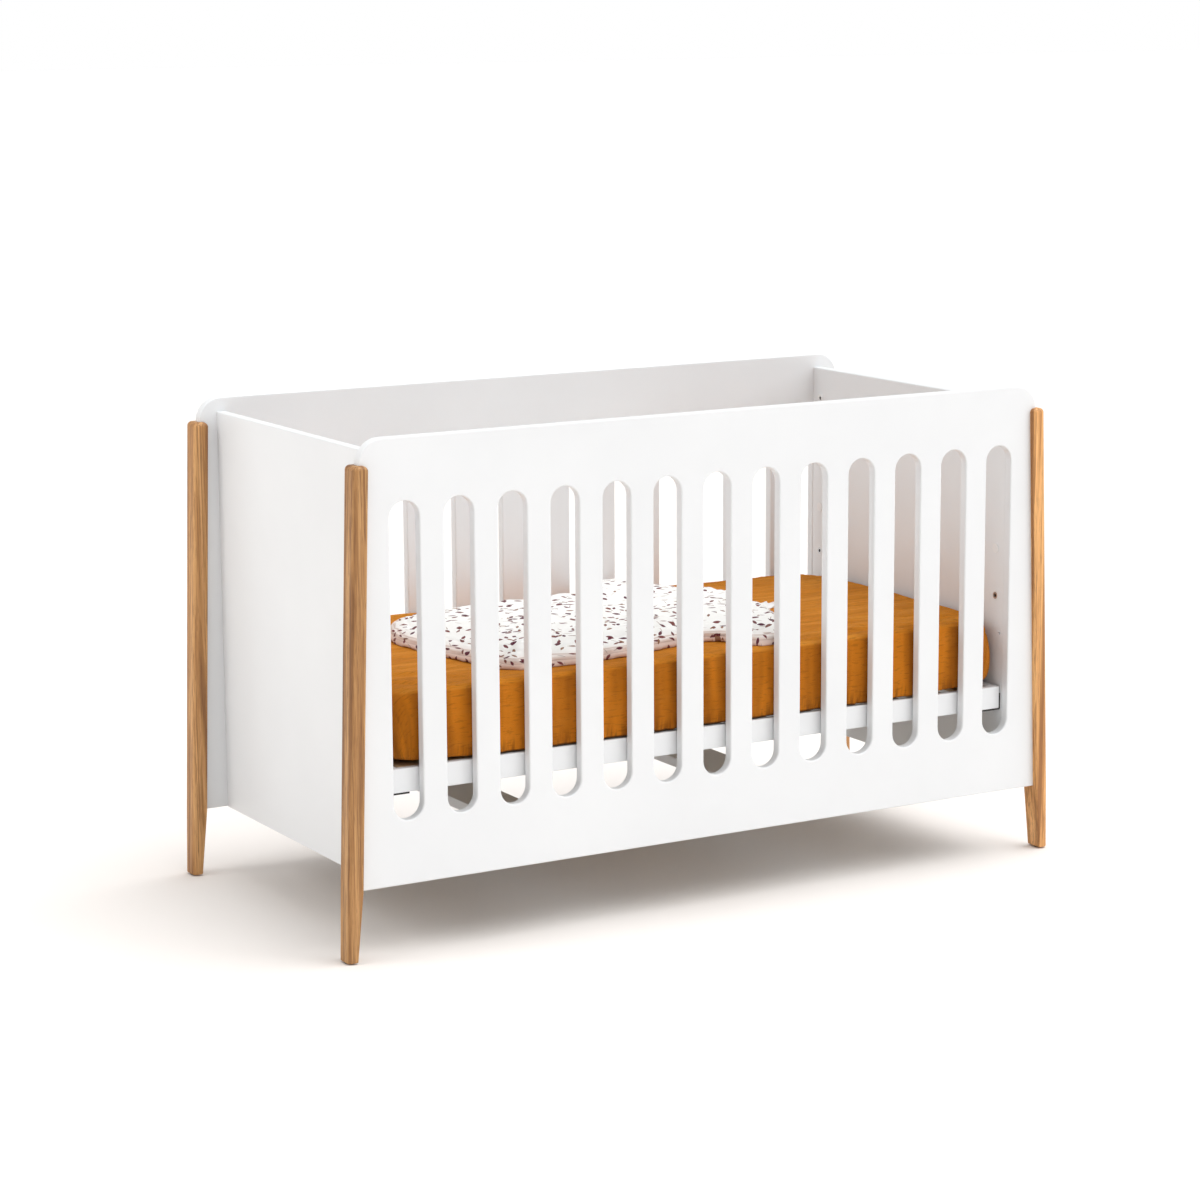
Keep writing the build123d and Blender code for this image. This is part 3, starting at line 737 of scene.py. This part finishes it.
def make_core(low, high):
    """Mattress inside the sheet, with a lightly quilted underside."""
    half = (high.x, high.y)
    outer = slab_rim(half, SHEET_CORNER, CORE_STEP)[-1]
    rings = side_rings(outer, low, high, CORE_INSET)
    mesh = slab_mesh("core", half, SHEET_CORNER, CORE_STEP, CORE_RIM, rings, high.z - CORE_INSET,
                     low.z + CORE_INSET)
    points = mesh_points(mesh)
    x, y, z = points.T
    quilt = abs(np.sin(x * math.pi / CORE_QUILT) * np.sin(y * math.pi / CORE_QUILT)) ** 0.5
    under = (z < low.z + 2 * CORE_INSET) & (abs(x) < 0.54) & (abs(y) < 0.24)
    points[:, 2] += np.where(under, 0.003 * (1 - quilt), 0)
    set_points(mesh, points)
    cover = plain_cotton("mattress_cover", (0.78, 0.77, 0.75), (0.85, 0.84, 0.82))
    return new_object("mattress_core", mesh, cover)


def make_mattress():
    low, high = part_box("fitted_sheet")
    sheet = make_sheet(low, high)
    core = make_core(low, high)
    stand_ins = ((sheet, "fitted_sheet", "ochre_jersey"), (core, "mattress", "mattress_cover"))
    for piece, node, slot in stand_ins:
        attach(piece, "mattress_set")
        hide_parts(node)


# ---------------------------------------------------------------- sleeping bag

# foot, front side, front sleeve, neck, back sleeve and back side, in millimetres
BAG_OUTLINE = (
    (-385, 180), (-428, 70), (-420, -20), (-376, -225), (-345, -262),
    (-240, -268), (-132, -252), (-17, -224), (70, -212),
    (88, -303), (182, -303),
    (278, -75), (278, 110),
    (215, 165), (200, 232), (165, 303), (75, 303),
    (15, 205), (-130, 207), (-310, 215),
)
BAG_STEP = 0.006         # size of the remesh's voxels
BAG_CORNER = 0.04
BAG_START_INSET = 0.004
BAG_RIM = 0.013          # thickness at its edge, before it is blown up
BAG_FULL = 0.029         # and in the middle
BAG_SHOULDER = 0.065     # how far in from the edge it reaches that
BAG_PRESSURE = 4.0
BAG_CAP = 0.007          # how far blowing it up may move a point


def rounded(points, cut, steps=8):
    """Closed outline with each corner replaced by a curve that starts this far from it."""
    points = np.array(points, float)
    result = []
    for before, here, after in zip(np.roll(points, 1, 0), points, np.roll(points, -1, 0)):
        ends = []
        for other in (before, after):
            length = np.linalg.norm(other - here)
            ends.append(here + (other - here) * min(cut, 0.45 * length) / length)
        for k in range(steps + 1):
            t = k / steps
            result.append((1 - t) ** 2 * ends[0] + 2 * t * (1 - t) * here + t ** 2 * ends[1])
    return np.array(result)


def edge_distance(points, outline):
    """Distance from each point to a closed outline, and the outward direction there."""
    best = np.full(len(points), 1e9)
    out = np.zeros((len(points), 2))
    for a, b in zip(outline, np.roll(outline, -1, 0)):
        run = b - a
        length = max(np.linalg.norm(run), 1e-9)
        t = np.clip(((points - a) @ run) / length ** 2, 0, 1)
        distance = np.linalg.norm(points - a - t[:, None] * run, axis=1)
        closer = distance < best
        best[closer] = distance[closer]
        out[closer] = (run[1] / length, -run[0] / length)
    return best, out


def inset_outline(outline, inset):
    """Moves a closed outline's points inwards along their normals."""
    run = np.roll(outline, -1, 0) - np.roll(outline, 1, 0)
    run /= np.maximum(np.linalg.norm(run, axis=1, keepdims=True), 1e-9)
    return outline + np.stack((-run[:, 1], run[:, 0]), 1) * inset


def inflate(thing, held, pressure, cap, frames=20):
    """Blows the mesh up with cloth, holding some points and limiting how far any moves."""
    rest = mesh_points(thing.data)
    group = thing.vertex_groups.new(name="held")
    group.add([int(i) for i in np.flatnonzero(held)], 1.0, "REPLACE")
    cloth = thing.modifiers.new("cloth", "CLOTH")
    settings = cloth.settings
    settings.quality = 5
    settings.mass = 0.3
    settings.tension_stiffness = settings.compression_stiffness = 12
    settings.bending_stiffness = 0.4
    settings.use_pressure = True
    settings.uniform_pressure_force = pressure
    settings.effector_weights.gravity = 0
    settings.vertex_group_mass = "held"
    cloth.collision_settings.use_collision = False
    cloth.point_cache.frame_end = frames
    for frame_number in range(1, frames + 1):
        bpy.context.scene.frame_set(frame_number)
    apply_modifiers(thing)
    bpy.context.scene.frame_set(1)
    moved = mesh_points(thing.data) - rest
    far = np.linalg.norm(moved, axis=1)
    moved *= (cap * np.tanh(far / cap) / np.maximum(far, 1e-9))[:, None]
    set_points(thing.data, rest + moved)
    thing.vertex_groups.clear()


def bag_shell(outline, low, high):
    """Closed prism over the outline."""
    count = len(outline)
    points = [(x, y, low) for x, y in outline] + [(x, y, high) for x, y in outline]
    faces = [tuple(reversed(range(count))), tuple(range(count, 2 * count))]
    faces += [(k, (k + 1) % count, (k + 1) % count + count, k + count) for k in range(count)]
    mesh = bpy.data.meshes.new("bag")
    mesh.from_pydata(points, [], faces)
    return new_object("bag_quilt", mesh)


def make_bag():
    low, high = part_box("sleeping_bag")
    outline = rounded(np.array(BAG_OUTLINE) / 1000, BAG_CORNER)
    inner = inset_outline(outline, BAG_START_INSET)
    bag = bag_shell(inner, low.z, low.z + BAG_RIM)
    remesh = bag.modifiers.new("remesh", "REMESH")
    remesh.mode = "VOXEL"
    remesh.voxel_size = BAG_STEP
    apply_modifiers(bag)
    points = mesh_points(bag.data)
    points[:, 2] = np.maximum(points[:, 2], low.z)
    distance = edge_distance(points[:, :2], inner)[0]
    crown = 1 - np.clip(distance / BAG_SHOULDER, 0, 1)
    on_top = np.clip((points[:, 2] - low.z) / BAG_RIM, 0, 1)
    points[:, 2] += on_top * (BAG_FULL - BAG_RIM) * np.sqrt(1 - crown ** 2)
    set_points(bag.data, points)
    inflate(bag, points[:, 2] < low.z + 0.002, BAG_PRESSURE, BAG_CAP)
    smooth = bag.modifiers.new("smooth", "SUBSURF")
    smooth.levels = smooth.render_levels = 1
    apply_modifiers(bag)
    points = mesh_points(bag.data)
    normals = mesh_normals(bag.data)
    distance, out = edge_distance(points[:, :2], outline)
    height = (points[:, 2] - low.z) / (high.z - low.z)
    side = np.clip(1 - distance / 0.02, 0, 1)
    puff = 0.0035 * fbm(points * (1.0, 1.6, 1.0), 9, 3, 4.0)
    puff += 0.0012 * fbm(points * (1, 2.2, 1), 30, 2, 9.0)
    puff -= 0.0022 * ridge(distance - 0.042, 0.0035)
    seam = -0.004 * ridge(height - 0.36, 0.07)
    flat_part = np.clip((points[:, 2] - low.z) / 0.006, 0, 1)
    points += normals * (flat_part * ((1 - side) * puff + side * (seam + 0.4 * puff)))[:, None]
    points[:, 2] = np.maximum(points[:, 2], low.z)
    set_points(bag.data, points)
    drop = np.clip(high.z - points[:, 2], 0, 1) * np.clip(1 - distance / 0.03, 0, 1)
    set_uv(bag.data, "flat", points[:, :2] + out * drop[:, None])
    set_material(bag, printed_cotton())
    bag.data.shade_smooth()
    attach(bag, "bag")
    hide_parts("sleeping_bag")


FRILL_PITCH = 0.0125     # from one wave to the next
FRILL_THICK = 0.0012
FRILL_ACROSS, FRILL_ALONG = 10, 80


def frill_mesh(name, low, high):
    """Strip from inside the bag's edge to its own free edge, waved more and more towards that."""
    length, width = high.y - low.y, high.x - low.x
    points = []
    for j in range(FRILL_ALONG + 1):
        for i in range(FRILL_ACROSS + 1):
            s, t = j / FRILL_ALONG, i / FRILL_ACROSS
            wave = math.sin(s * length / FRILL_PITCH * 2 * math.pi + 0.6 * math.sin(9 * s)) ** 3
            fade = math.sin(math.pi * min(max(s, 0.02), 0.98)) ** 0.4
            reach = width * (-0.45 + 1.45 * t * (0.88 + 0.08 * wave * t) * fade)
            z = low.z + (high.z - low.z) * (0.35 + 0.25 * t + 0.40 * t * wave)
            points.append((low.x + reach, low.y + length * s, z))
    row = FRILL_ACROSS + 1
    faces = [(a, a + 1, a + row + 1, a + row)
             for a in (j * row + i for j in range(FRILL_ALONG) for i in range(FRILL_ACROSS))]
    mesh = bpy.data.meshes.new(name)
    mesh.from_pydata(points, [], faces)
    return mesh


def make_ruffles():
    """Short gathered frills at the neck of the bag."""
    material = plain_cotton("white_cotton", (0.80, 0.79, 0.78), (0.87, 0.865, 0.86))
    for node in ("bag_ruffle_back", "bag_ruffle_front"):
        low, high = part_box(node)
        frill = new_object(node.replace("bag_", "frill_"), frill_mesh(node, low, high), material)
        thick = frill.modifiers.new("thick", "SOLIDIFY")
        thick.thickness = FRILL_THICK
        apply_modifiers(frill)
        frill.data.shade_smooth()
        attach(frill, "bag")
        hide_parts(node)


def make_floor():
    mesh = bpy.data.meshes.new("floor")
    corners = [(x * FLOOR_HALF, y * FLOOR_HALF, 0) for x, y in ((-1, -1), (1, -1), (1, 1), (-1, 1))]
    mesh.from_pydata(corners, [], [(0, 1, 2, 3)])
    floor = new_object("floor", mesh, floor_paint())


make_camera()
make_lights()
make_floor()
finish_cad_nodes()
make_mattress()
make_bag()
make_ruffles()
